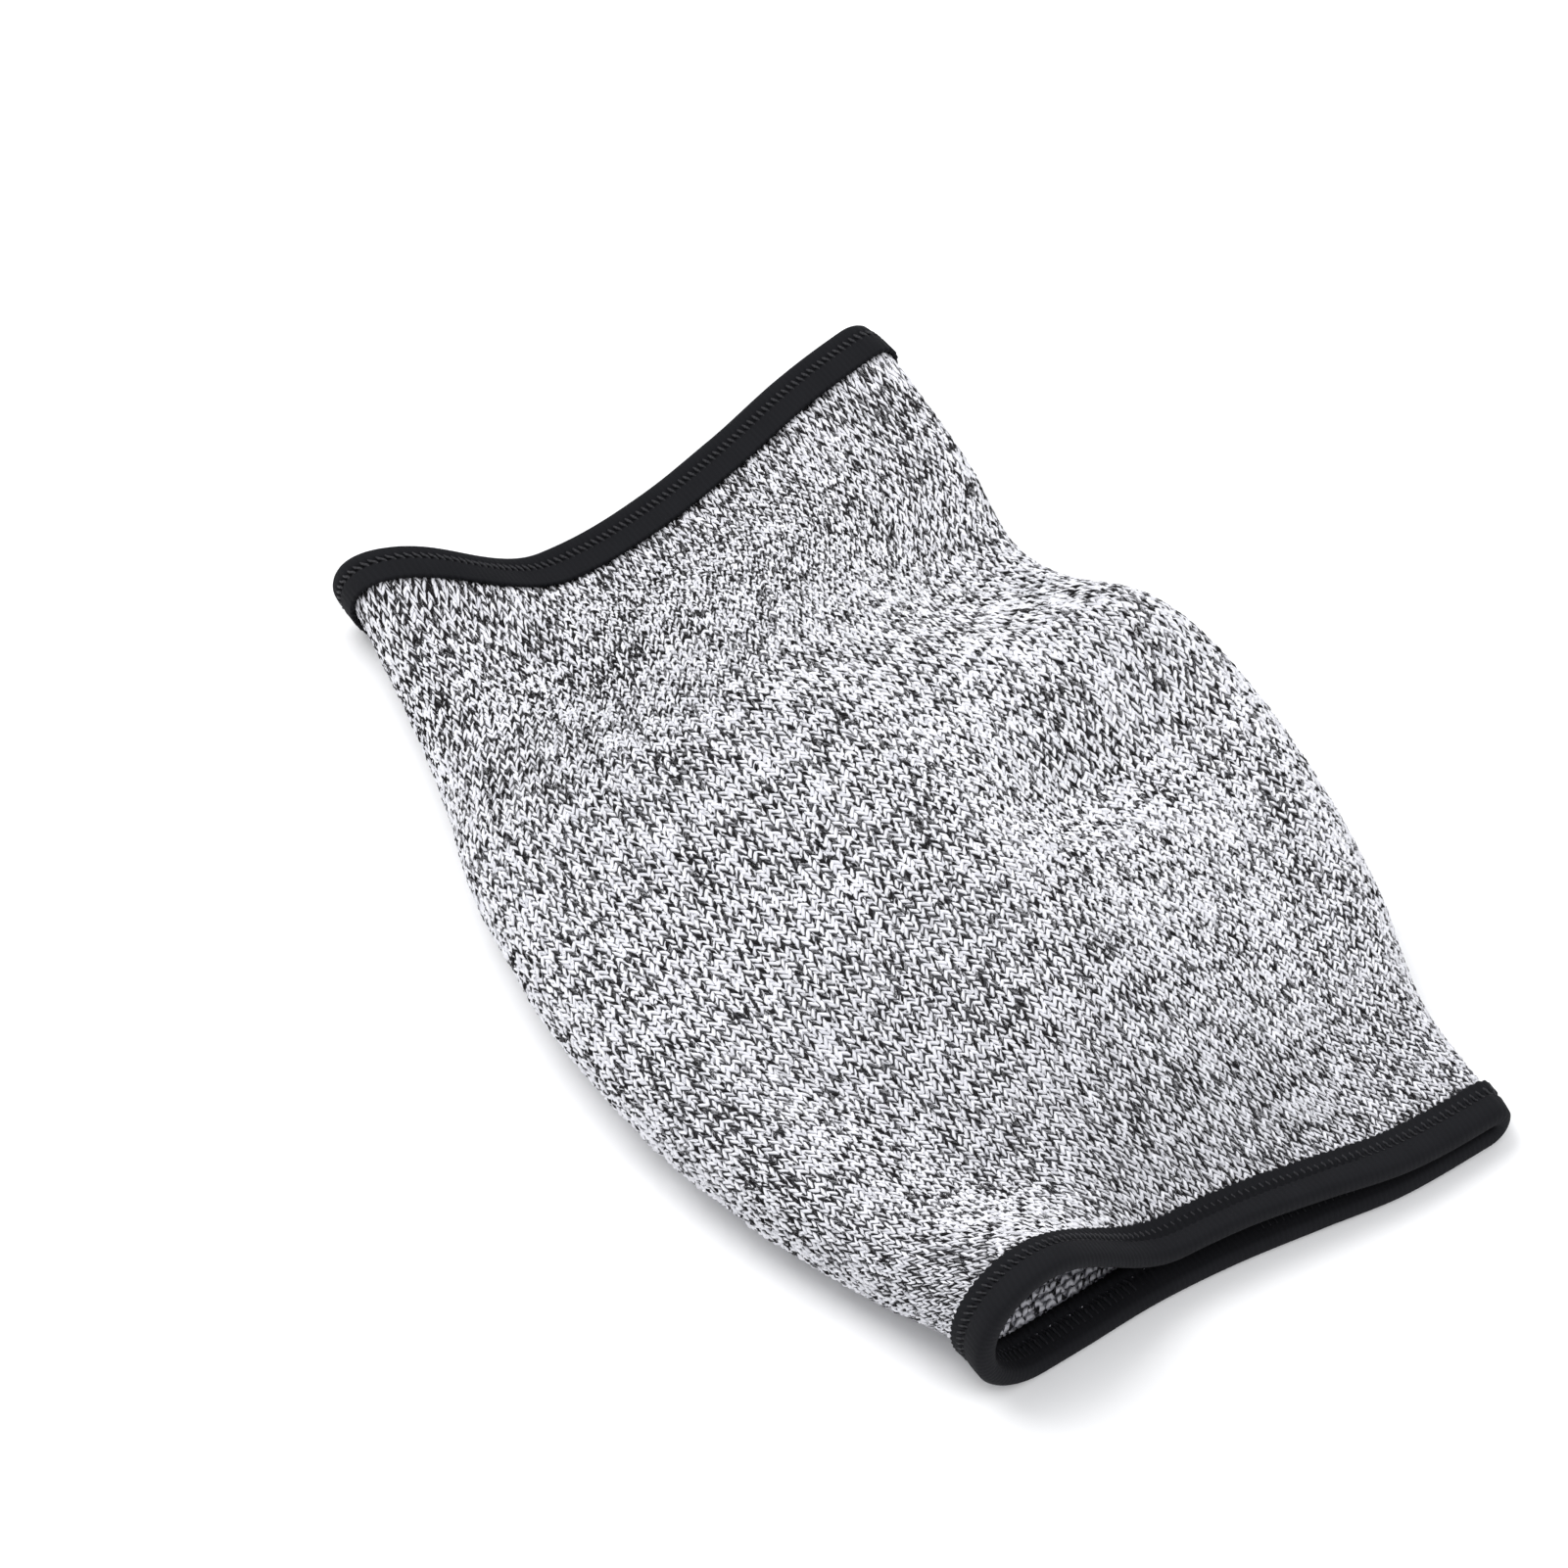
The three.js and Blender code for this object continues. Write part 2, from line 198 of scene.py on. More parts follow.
class GeometryTree(Nodes):
    """A geometry tree with named sizes, which is run on a mesh and gives a plain mesh."""

    def __init__(self, name: str) -> None:
        """Makes an empty tree with a mesh input and output."""
        super().__init__(bpy.data.node_groups.new(name, "GeometryNodeTree"))
        self.tree.interface.new_socket("Cloth", in_out="INPUT", socket_type="NodeSocketGeometry")
        self.tree.interface.new_socket("Pieces", in_out="OUTPUT", socket_type="NodeSocketGeometry")
        self.entry = self.tree.nodes.new("NodeGroupInput")
        self.identifiers: dict[str, str] = {}

    @property
    def cloth(self) -> Socket:
        """The mesh that the tree runs on."""
        return Socket(self, self.entry.outputs["Cloth"])

    @property
    def position(self) -> Socket:
        """The place of each point."""
        return self.node("GeometryNodeInputPosition")

    def size(self, name: str, kind: str = "Float") -> Socket:
        """Returns a new named input of the kind Float, Int or Material."""
        item = self.tree.interface.new_socket(
            name, in_out="INPUT", socket_type="NodeSocket" + kind
        )
        self.identifiers[name] = item.identifier
        return Socket(self, self.entry.outputs[name])

    def named(self, name: str, kind: str = "FLOAT_VECTOR") -> Socket:
        """Returns a named attribute of the mesh."""
        return self.node("GeometryNodeInputNamedAttribute", {"data_type": kind}, {"Name": name})

    def kept(
        self, mesh: Socket, name: str, value: object, kind: str = "FLOAT", domain: str = "POINT"
    ) -> Socket:
        """Returns the mesh with the value stored on it under a name."""
        return self.node(
            "GeometryNodeStoreNamedAttribute",
            {"data_type": kind, "domain": domain},
            {"Geometry": mesh, "Name": name, "Value": value},
        )

    def on_cloth(self, field_value: Socket, place: Socket) -> Socket:
        """Returns a value of the cloth at a place of its map."""
        return self.node(
            "GeometryNodeSampleUVSurface",
            {"data_type": "FLOAT_VECTOR"},
            {0: self.cloth, 1: field_value, 2: self.named(CLOTH_MAP), 3: place},
        )

    def laid(self, pieces: Socket) -> Socket:
        """Moves pieces from the flat map onto the cloth.

        Args:
            pieces: a mesh whose X and Y are a place of the map and whose Z is a height.

        Returns:
            The mesh at those places, standing on the cloth by that height.
        """
        x, y, height = self.parts(self.position)
        place = self.vector(x, y, 0.0)
        foot = self.on_cloth(self.position, place)
        normal = self.on_cloth(self.node("GeometryNodeInputNormal"), place)
        normal = self.vectors("NORMALIZE", normal)
        place = self.vectors("ADD", foot, self.scaled(normal, height))
        return self.moved(pieces, "Position", place)

    def moved(self, mesh: Socket, how: str, vector: Socket) -> Socket:
        """Returns the mesh with its points at a new Position, or moved by an Offset."""
        return self.node("GeometryNodeSetPosition", None, {"Geometry": mesh, how: vector})

    def spread(
        self, points: Socket, piece: Socket, turn: Socket, scale: object = (1.0, 1.0, 1.0)
    ) -> Socket:
        """Returns a copy of the piece on each point, turned and scaled."""
        rotation = self.node("FunctionNodeEulerToRotation", None, {0: turn})
        return self.node(
            "GeometryNodeInstanceOnPoints",
            None,
            {"Points": points, "Instance": piece, "Rotation": rotation, "Scale": scale},
        )

    def chance(self, low: Sequence[float], high: Sequence[float], seed: object) -> Socket:
        """Returns an even random vector for each point."""
        return self.node(
            "FunctionNodeRandomValue",
            {"data_type": "FLOAT_VECTOR"},
            {"Min": low, "Max": high, "Seed": seed},
        )

    def sway(self, reach: Sequence[float], seed: object) -> Socket:
        """Returns an even random vector for each point, up to the reach both ways."""
        return self.chance([-most for most in reach], reach, seed)

    def seen(self, points: Socket, lean: object) -> Socket:
        """Drops the points that are off the cloth, or where it faces down more than lean.

        Args:
            points: a mesh whose X and Y are a place of the map.
            lean: the lowest Z that the cloth's normal may have.

        Returns:
            The points that are left.
        """
        normal = self.on_cloth(self.node("GeometryNodeInputNormal"), self.position)
        low = self.math("LESS_THAN", self.parts(normal)[2], lean)
        off = self.node(
            "FunctionNodeBooleanMath", {"operation": "NOT"}, {0: normal.other("Is Valid")}
        )
        hidden = self.node("FunctionNodeBooleanMath", {"operation": "OR"}, {0: off, 1: low})
        return self.node(
            "GeometryNodeDeleteGeometry",
            {"domain": "POINT"},
            {"Geometry": points, "Selection": hidden},
        )

    def strand(
        self, rings: int, sides: int, path: Socket, share: Socket, radius: Socket, width: Socket
    ) -> Socket:
        """Makes a short closed strand.

        Args:
            rings: how many rings of corners it has along its length.
            sides: how many corners a ring has.
            path: the place of its middle line for a share of its length.
            share: the share of its length, from 0 to 1.
            radius: its greatest radius.
            width: its radius at a share of its length, as a share of the greatest one.

        Returns:
            A mesh with the attributes along and round, both from 0 to 1. Round is 0.5 on top.
        """
        line = self.node("GeometryNodeCurvePrimitiveLine", None, {"End": (0.0, 1.0, 0.0)})
        line = self.node("GeometryNodeResampleCurve", None, {"Curve": line, "Count": rings})
        line = self.kept(line, "along", share)
        line = self.moved(line, "Position", path)
        line = self.node("GeometryNodeSetCurveNormal", {"mode": "Z_UP"}, {"Curve": line})
        circle = self.node(
            "GeometryNodeCurvePrimitiveCircle", None, {"Resolution": sides, "Radius": radius}
        )
        turned = self.math("FRACT", 1.25 - self.node("GeometryNodeSplineParameter"))
        circle = self.kept(circle, "round", turned)
        return self.node(
            "GeometryNodeCurveToMesh",
            None,
            {"Curve": line, "Profile Curve": circle, "Scale": width, "Fill Caps": True},
        )

    def finish(self, pieces: Socket) -> None:
        """Ends the tree: real faces laid on the cloth, smooth, with the named Material."""
        pieces = self.node("GeometryNodeRealizeInstances", None, {"Geometry": pieces})
        pieces = self.node("GeometryNodeSetShadeSmooth", None, {"Geometry": self.laid(pieces)})
        inputs = {"Geometry": pieces, "Material": self.size("Material", "Material")}
        pieces = self.node("GeometryNodeSetMaterial", None, inputs)
        self.node("NodeGroupOutput", None, {"Pieces": pieces}, output=None)

    def grow(
        self, name: str, cloth: bpy.types.Mesh, sizes: dict[str, object]
    ) -> bpy.types.Object:
        """Runs the tree.

        Args:
            name: the new piece's name.
            cloth: the mesh to run on.
            sizes: a value for each named input.

        Returns:
            A new object with a plain mesh.
        """
        host = bpy.data.objects.new(name + "_host", cloth)
        bpy.context.scene.collection.objects.link(host)
        modifier = host.modifiers.new("pieces", "NODES")
        modifier.node_group = self.tree
        for size, value in sizes.items():
            modifier[self.identifiers[size]] = value
        graph = bpy.context.evaluated_depsgraph_get()
        mesh = bpy.data.meshes.new_from_object(host.evaluated_get(graph))
        host.modifiers.remove(modifier)
        bpy.data.objects.remove(host)
        mesh.name = name
        return linked(name, mesh)


def linked(name: str, mesh: bpy.types.Mesh) -> bpy.types.Object:
    """Returns a new object of the mesh, in the scene."""
    made = bpy.data.objects.new(name, mesh)
    bpy.context.scene.collection.objects.link(made)
    return made


class Table:
    """Rows of named columns, read on a smooth curve through the rows."""

    def __init__(self, names: str, rows: Sequence[Sequence[float]]) -> None:
        """Keeps the columns and each row's slope."""
        columns = np.array(rows, dtype=float).T
        self.key = columns[0]
        self.last = len(self.key) - 1
        rows_at = np.arange(self.last + 1)
        before, after = np.maximum(rows_at - 1, 0), np.minimum(rows_at + 1, self.last)
        run = self.key[after] - self.key[before]
        self.columns = dict(zip(names.split(), columns))
        self.slopes = {n: (c[after] - c[before]) / run for n, c in self.columns.items()}

    def at(self, name: str, place: np.ndarray) -> np.ndarray:
        """Returns a column's values at places of the first column."""
        place = np.clip(place, self.key[0], self.key[-1])
        row = np.clip(np.searchsorted(self.key, place) - 1, 0, self.last - 1)
        width = self.key[row + 1] - self.key[row]
        s = (place - self.key[row]) / width
        start, end = self.columns[name][row], self.columns[name][row + 1]
        rise, fall = self.slopes[name][row], self.slopes[name][row + 1]
        bend = (2 * s - 3) * s * s
        return (
            start * (1 + bend)
            - end * bend
            + rise * width * s * (1 - s) ** 2
            - fall * width * s * s * (1 - s)
        )


def soft_step(low: float, high: float, x: np.ndarray) -> np.ndarray:
    """Returns a soft step from 0 at low to 1 at high."""
    s = np.clip((x - low) / (high - low), 0, 1)
    return s * s * (3 - 2 * s)


@dataclass(frozen=True)
class SleeveShape:
    """The sleeve's surface as it lies, in millimetres, with the near cuff at -Y.

    The sections' columns are the place along the sleeve, the distances of the two side edges
    from its axis, the heights of the left edge, the middle and the right edge, and the shares
    of the width over which an edge's height turns into the middle's.
    """

    length: float = 222.5
    body_width: float = 145
    body_height: float = 41
    near_width: float = 103
    far_width: float = 119
    near_loop: float = 26.5
    far_loop: float = 19.5
    shut: float = 6.1
    near_draw: float = 4
    far_draw: float = 23
    lower_draw: float = 0.85
    edge_reach: float = 0.5
    rest_lift: float = 1.1
    binding_width: float = 8.3
    fold_fade: float = 0.08
    sections: Table = field(init=False)
    edges: Table = field(init=False)

    def __post_init__(self) -> None:
        """Fills the tables from the sizes."""
        n, f, b, h, s = (
            self.near_width,
            self.far_width,
            self.body_width,
            self.body_height,
            self.shut,
        )
        near, far = self.near_loop, self.far_loop
        rows = [
            (0.0, 0.545 * n, 0.505 * n, near, 1.75 * s, 1.1 * s, 0.32, 0.6),
            (0.035, 0.548 * n, 0.515 * n, 0.95 * near, 1.45 * s, s, 0.34, 0.6),
            (0.12, 0.447 * b, 0.364 * b, 0.56 * h, 0.6 * h, 0.34 * h, 0.45, 0.5),
            (0.22, 0.51 * b, 0.405 * b, 0.6 * h, 0.88 * h, 0.5 * h, 0.5, 0.5),
            (0.33, 0.549 * b, 0.435 * b, 0.62 * h, 0.98 * h, 0.58 * h, 0.5, 0.5),
            (0.45, 0.56 * b, 0.446 * b, 0.62 * h, h, 0.64 * h, 0.5, 0.5),
            (0.53, 0.549 * b, 0.425 * b, 0.6 * h, 0.98 * h, 0.66 * h, 0.5, 0.5),
            (0.61, 0.532 * b, 0.365 * b, 0.58 * h, 0.92 * h, 0.56 * h, 0.5, 0.5),
            (0.7, 0.495 * b, 0.347 * b, 0.56 * h, 0.8 * h, 0.42 * h, 0.48, 0.5),
            (0.82, 0.458 * b, 0.385 * b, 0.52 * h, 0.55 * h, 0.32 * h, 0.4, 0.5),
            (0.96, 0.52 * f, 0.493 * f, 0.98 * far, 1.35 * s, 1.65 * s, 0.28, 0.4),
            (1.0, 0.518 * f, 0.475 * f, far, 1.6 * s, 1.9 * s, 0.25, 0.35),
        ]
        names = "along left right left_height middle_height right_height left_span right_span"
        object.__setattr__(self, "sections", Table(names, rows))
        edge_rows = [
            (0.0, -0.6, 0.48),
            (0.1, -0.35, 0.78),
            (0.2, -0.1, 0.96),
            (0.35, 0.3, 1.0),
            (0.5, 0.3, 0.86),
            (0.65, 0.0, 0.61),
            (0.8, -0.3, 0.34),
            (1.0, 0.1, 0.08),
        ]
        object.__setattr__(self, "edges", Table("across near far", edge_rows))

    @property
    def folds(self) -> list[tuple[float, ...]]:
        """Ridges and dents of the upper layer: across, along, turn, reach, breadth and rise."""
        return [
            (-0.28, 0.8, 100, 0.17, 0.055, -0.15),
            (0.085, 0.365, 15, 0.06, 0.05, -0.09),
            (0.2, 0.4, 22, 0.11, 0.045, -0.08),
            (-0.02, 0.53, 110, 0.16, 0.07, -0.07),
            (-0.3, 0.185, 115, 0.12, 0.05, -0.13),
            (-0.1, 0.22, 98, 0.3, 0.1, 0.06),
            (0.32, 0.52, 80, 0.09, 0.08, 0.13),
            (0.2, 0.7, 95, 0.12, 0.06, -0.06),
            (-0.42, 0.53, 80, 0.08, 0.04, -0.05),
        ]

    def fold_rise(self, x: np.ndarray, along: np.ndarray) -> np.ndarray:
        """Returns the folds' height at places of the upper layer."""
        rise = np.zeros(np.broadcast(x, along).shape)
        for across, place, turn, reach, breadth, height in self.folds:
            angle = math.radians(turn)
            dx = x / self.body_width - across
            dy = (along - place) * self.length / self.body_width
            with_fold = (dx * math.cos(angle) + dy * math.sin(angle)) / reach
            over_fold = (dy * math.cos(angle) - dx * math.sin(angle)) / breadth
            rise += height * np.exp(-(with_fold**2 + over_fold**2) / 2)
        fade = soft_step(0, self.fold_fade, along) * soft_step(0, self.fold_fade, 1 - along)
        return rise * self.body_height * fade

    def points(self, along: np.ndarray, place: np.ndarray, outward: np.ndarray) -> np.ndarray:
        """Finds points of the surface.

        Args:
            along: the share of the length from the near end.
            place: 0 to 5 around the section from the middle of the underside: the right half of
                the underside, the right edge, the top, the left edge and the left half.
            outward: the distance out of the knit's outer face.

        Returns:
            The points, in a last axis of three.
        """
        along, place, outward = np.broadcast_arrays(along, place, outward)
        value = {name: self.sections.at(name, along) for name in self.sections.columns}
        left_r, middle_r, right_r = (
            value[name] / 2 for name in ("left_height", "middle_height", "right_height")
        )
        start, end = left_r - value["left"], value["right"] - right_r
        stretch = np.clip(np.floor(place), 0, 4)
        share = place - stretch
        quarter = math.pi / 2
        cases = [stretch == i for i in range(4)]
        spine = np.select(cases, [0.5 + share / 2, 1 + 0 * share, 1 - share, 0 * share], share / 2)
        angle = np.select(
            cases,
            [
                -quarter + 0 * share,
                -quarter + math.pi * share,
                quarter + 0 * share,
                quarter + math.pi * share,
            ],
            3 * quarter,
        )

        def fall(q: np.ndarray) -> np.ndarray:
            """Returns the soft fall from 1 at 0 to 0 at 1."""
            return (1 + np.cos(math.pi * np.minimum(q, 1))) / 2

        radius = (
            middle_r
            + (left_r - middle_r) * fall(spine / value["left_span"])
            + (right_r - middle_r) * fall((1 - spine) / value["right_span"])
        )
        reach = radius + outward
        centre = start + (end - start) * spine
        x = centre + reach * np.cos(angle)
        face_x = centre + radius * np.cos(angle)
        upper = ((1 + np.sin(angle)) / 2) ** 2
        across = (face_x + value["left"]) / (value["left"] + value["right"])
        layer = self.lower_draw + (1 - self.lower_draw) * upper
        near = self.near_draw * self.edges.at("near", across)
        far = self.far_draw * self.edges.at("far", across) * layer
        shift = near * soft_step(1 - self.edge_reach, 1, 1 - along) - far * soft_step(
            1 - self.edge_reach, 1, along
        )
        from_end = np.minimum(along, 1 - along) * self.length
        rest = self.rest_lift * (
            1 - soft_step(self.binding_width, 3 * self.binding_width, from_end)
        )
        y = (along - 0.5) * self.length + shift
        z = rest + radius + reach * np.sin(angle) + upper * self.fold_rise(face_x, along)
        return np.stack([x, y, z], -1)

    def around(self, along: np.ndarray, count: int) -> tuple[np.ndarray, np.ndarray]:
        """Spaces places evenly around sections.

        Args:
            along: the sections' shares of the length.
            count: the number of places in each section.

        Returns:
            The places, and their distances from the middle line of the top, positive to the
            right, with one more that closes the section.
        """
        fine = np.linspace(0, 5, 501)
        fine[-1] -= 1e-9
        path = self.points(along[:, None], fine[None, :], np.zeros((1, 1)))[..., [0, 2]]
        steps = np.linalg.norm(np.diff(path, axis=1), axis=-1)
        run = np.concatenate([np.zeros((len(along), 1)), np.cumsum(steps, axis=1)], axis=1)
        places = np.empty((len(along), count))
        distances = np.empty((len(along), count + 1))
        for row, total in enumerate(run[:, -1]):
            wanted = np.linspace(0, total, count + 1)
            places[row] = np.interp(wanted[:-1], run[row], fine)
            distances[row] = np.interp(2.5, fine, run[row]) - wanted
        return places, distances


@dataclass(frozen=True)
class Strip:
    """A strip of a mesh between two rows: where it lies on the cloth's map, in millimetres."""

    aside: float
    start: float
    end: float


def closed_mesh(
    name: str, points: np.ndarray, distances: np.ndarray, strips: Sequence[Strip]
) -> bpy.types.Mesh:
    """Makes a mesh that is closed both ways, like a ring.

    Args:
        name: the mesh's name.
        points: rows of points in millimetres.
        distances: each row's distances around, with the closing one.
        strips: the map of the strip after each row.

    Returns:
        The mesh in metres, with its map.
    """
    rows, columns = points.shape[:2]
    row, column = np.meshgrid(np.arange(rows), np.arange(columns), indexing="ij")
    below, beside = (row + 1) % rows, (column + 1) % columns
    corners = np.stack(
        [
            row * columns + column,
            below * columns + column,
            below * columns + beside,
            row * columns + beside,
        ],
        -1,
    ).reshape(-1, 4)
    mesh = bpy.data.meshes.new(name)
    mesh.from_pydata((points.reshape(-1, 3) * METRES).tolist(), [], corners.tolist())
    aside, start, end = (
        np.array([getattr(strip, key) for strip in strips])[:, None]
        for key in ("aside", "start", "end")
    )
    here, there = distances, np.roll(distances, -1, axis=0)
    u = np.stack([here[:, :-1], there[:, :-1], there[:, 1:], here[:, 1:]], -1) + aside[..., None]
    v = np.stack([start, end, end, start], -1) + np.zeros_like(u)
    uv = mesh.uv_layers.new(name=CLOTH_MAP)
    uv.data.foreach_set("uv", (np.stack([u, v], -1) * METRES).astype(np.float32).ravel())
    mesh.polygons.foreach_set("use_smooth", np.ones(len(corners), dtype=bool))
    mesh.update()
    return mesh


@dataclass(frozen=True)
class Finish:
    """A material's constant values and its name. Its colour and bump come from a subclass."""

    name: str
    roughness: float = 0.8
    specular: float = 0.3
    sheen: float = 0.0
    sheen_roughness: float = 0.5

    def look(self, nodes: Nodes) -> tuple[Socket, Socket | None]:
        """Returns the colour and the bump's height in metres."""
        raise NotImplementedError

    def material(self) -> bpy.types.Material:
        """Returns the material with this look."""
        made = bpy.data.materials.new(self.name)
        made.use_nodes = True
        made.node_tree.nodes.clear()
        nodes = Nodes(made.node_tree)
        colour, height = self.look(nodes)
        inputs: dict[int | str, object] = {
            "Base Color": colour,
            "Roughness": self.roughness,
            "Specular IOR Level": self.specular,
            "Sheen Weight": self.sheen,
            "Sheen Roughness": self.sheen_roughness,
        }
        if height is not None:
            inputs["Normal"] = nodes.node(
                "ShaderNodeBump", None, {"Strength": 1.0, "Distance": 1.0, "Height": height}
            )
        shader = nodes.node("ShaderNodeBsdfPrincipled", None, inputs)
        nodes.node("ShaderNodeOutputMaterial", None, {"Surface": shader}, output=None)
        return made


def from_map(nodes: Nodes, name: str) -> Socket:
    """Returns a mesh attribute as a vector, in a material."""
    return nodes.node("ShaderNodeAttribute", {"attribute_name": name}, output="Vector")


def value_from(nodes: Nodes, name: str) -> Socket:
    """Returns a mesh attribute as a value, in a material."""
    return nodes.node("ShaderNodeAttribute", {"attribute_name": name}, output="Fac")


@dataclass(frozen=True)
class MarlYarn(Finish):
    """White yarn plied with a strand that is partly black, seen along each leg of a loop."""

    white: tuple[float, ...] = (0.83, 0.83, 0.865, 1)
    grey: tuple[float, ...] = (0.46, 0.46, 0.50, 1)
    # Painted shade along the sides of each leg, where it dips under its neighbours; it also stands
    # for the dark fuzz of the black ply there.
    edge: tuple[float, ...] = (0.07, 0.07, 0.08, 1)
    black: tuple[float, ...] = (0.010, 0.009, 0.010, 1)
    least: float = 0.44
    growth: float = 4.5
    widest: float = 0.38
    whole_from: float = 0.6
    turns_on_a_leg: float = 0.35
    darker_from: float = 60.0
    darker_to: float = 165.0
    darker_far: float = 0.06
    clusters: float = 0.16
    mixture: float = 0.24
    whole_growth: float = 7.0
    relief: float = 0.00012

    def look(self, nodes: Nodes) -> tuple[Socket, Socket | None]:
        """Returns the plied colours and the plies' relief."""
        wale, course, _ = nodes.parts(from_map(nodes, "loop"))
        side, along = value_from(nodes, "side"), value_from(nodes, "along")
        return self.plied(nodes, wale, course, side, along, value_from(nodes, "round"))

    def plied(
        self,
        nodes: Nodes,
        wale: Socket,
        course: Socket,
        side: Socket,
        along: Socket,
        around: Socket,
    ) -> tuple[Socket, Socket]:
        """Draws the yarn on a leg, with painted shade along its sides.

        Args:
            nodes: the material's nodes.
            wale: the loop's column.
            course: the loop's row.
            side: 0 on the left leg, 1 on the right one.
            along: the place on the leg, 0 to 1.
            around: the place around the leg, 0.5 on top.

        Returns:
            The colour and the relief in metres.
        """
        leg = wale * 2.0 + side
        run = leg + side + along * (1.0 - 2.0 * side)
        patch = nodes.noise(nodes.vector(run * 0.9, course * 5.3, 0.0), 1.0, 2.0)
        cluster = nodes.noise(nodes.vector(wale * 0.16, course * 0.12, 9.0), 1.0, 1.0)
        place = nodes.vector(leg, course, 1.0)
        luck = nodes.node("ShaderNodeTexWhiteNoise", None, {"Vector": place})
        patch = patch + (cluster - 0.5) * self.clusters + (luck - 0.5) * self.mixture
        patch = patch + nodes.step(self.darker_from, self.darker_to, course) * self.darker_far
        amount = nodes.math("MINIMUM", (patch - self.least) * self.growth, self.widest)
        amount = amount + nodes.math("MAXIMUM", (patch - self.whole_from) * self.whole_growth, 0.0)
        ply = nodes.wave(run * self.turns_on_a_leg + around + luck * 0.4 + course * 0.37)
        is_black = nodes.step(-0.07, 0.07, amount - ply)
        tone = nodes.noise(nodes.vector(leg * 1.7, course * 2.3, 4.0), 1.0, 1.0)
        light = nodes.blend(nodes.step(0.4, 0.75, tone) * 0.5, self.white, self.grey)
        # Painted shade: each leg turns to the edge colour towards its sides, with a random wobble,
        # partly the dark fuzz of the black ply.
        beside = nodes.math("ABSOLUTE", around - 0.5) * 4.0 + (tone - 0.5) * 1.6
        light = nodes.blend(nodes.step(1.05, 1.45, beside), light, self.edge)
        colour = nodes.blend(is_black, light, self.black)
        fibre = nodes.noise(nodes.vector(run * 2.0 + around * 3.0, around * 14.0, course), 1.0, 2.0)
        return colour, (fibre * 0.5 + ply * 0.5) * self.relief


@dataclass(frozen=True)
class PurlYarn(Finish):
    """The same yarn on the wrong side, where the rows of round bumps lie."""

    white: tuple[float, ...] = (0.72, 0.72, 0.77, 1)
    black: tuple[float, ...] = (0.02, 0.02, 0.022, 1)
    relief: float = 0.00008

    def look(self, nodes: Nodes) -> tuple[Socket, Socket | None]:
        """Returns the flecked colour and the plies' relief."""
        wale, course, _ = nodes.parts(from_map(nodes, "loop"))
        along, around = value_from(nodes, "along"), value_from(nodes, "round")
        run = wale + along
        patch = nodes.noise(nodes.vector(run * 1.1, course * 5.3, 0.0), 1.0, 2.0)
        ply = nodes.wave(run * 1.6 + around)
        is_black = nodes.step(-0.08, 0.08, (patch - 0.47) * 3.2 - ply)
        return nodes.blend(is_black, self.white, self.black), ply * self.relief


@dataclass(frozen=True)
class KnitGround(Finish):
    """What shows between the loops, painted as shade, the flat loops underneath and the purl side
    inside, with painted shading on its bumps.
    """

    yarn: MarlYarn = MarlYarn("flat_yarn")
    # Painted shade: the dark colour of the gaps between the loops, given to the wall under them.
    between: tuple[float, ...] = (0.045, 0.045, 0.05, 1)
    # Painted shade in the hollows between the purl bumps.
    shade: tuple[float, ...] = (0.22, 0.22, 0.25, 1)
    # The painted lit colour of the purl bumps' tops.
    light: tuple[float, ...] = (0.72, 0.72, 0.78, 1)
    dark: tuple[float, ...] = (0.05, 0.05, 0.055, 1)
    wale: float = 0.00225
    course: float = 0.00134
    outside_to: float = 0.5
    leg_slope: float = 3.65
    relief: float = 0.0004

    def look(self, nodes: Nodes) -> tuple[Socket, Socket | None]:
        """Returns the colour and the purl bumps' relief."""
        u, v, _ = nodes.parts(from_map(nodes, CLOTH_MAP))
        row = nodes.math("FLOOR", v / self.course)
        bump = nodes.wave(v / self.course) * (
            nodes.wave(u / self.wale + row * 0.5) * 0.6 + 0.4
        )
        fleck = nodes.noise(nodes.vector(u / self.wale * 1.4, row * 3.1, 0.0), 1.0, 2.0)
        # Painted shading of the purl bumps: dark in their hollows, light on their tops.
        inside = nodes.blend(bump, self.shade, self.light)
        inside = nodes.blend(nodes.step(0.52, 0.6, fleck) * 0.85, inside, self.dark)
        is_inside = nodes.math("GREATER_THAN", u, self.outside_to)
        flat, relief = self.underside(nodes, u, v)
        under = value_from(nodes, "under") * (1.0 - is_inside)
        # Faces turned up show the painted shade of the gaps; faces turned down show drawn loops.
        outside = nodes.blend(under, self.between, flat)
        height = bump * is_inside * self.relief + relief * under
        return nodes.blend(is_inside, outside, inside), height

    def underside(self, nodes: Nodes, u: Socket, v: Socket) -> tuple[Socket, Socket]:
        """Returns the colour and relief of the loops that are only drawn on the wall."""
        wale = (u - OUTER_ASIDE * METRES) / self.wale + FIRST_COLUMN
        across = nodes.math("FRACT", wale) - 0.5
        along = nodes.math("ABSOLUTE", across) * 2.0
        rows = v / self.course - along * (0.5 * self.leg_slope)
        around = nodes.math("FRACT", rows) * 0.6 + 0.2
        colour, _ = self.yarn.plied(
            nodes,
            nodes.math("FLOOR", wale) + 0.5,
            nodes.math("FLOOR", rows),
            nodes.math("GREATER_THAN", across, 0.0),
            along,
            around,
        )
        crown = nodes.math("FRACT", rows)
        crown = crown * (1.0 - crown) * 4.0
        # The gaps between the drawn loops take the same painted shade.
        return nodes.blend(nodes.step(0.1, 0.6, crown), self.between, colour), crown * self.relief


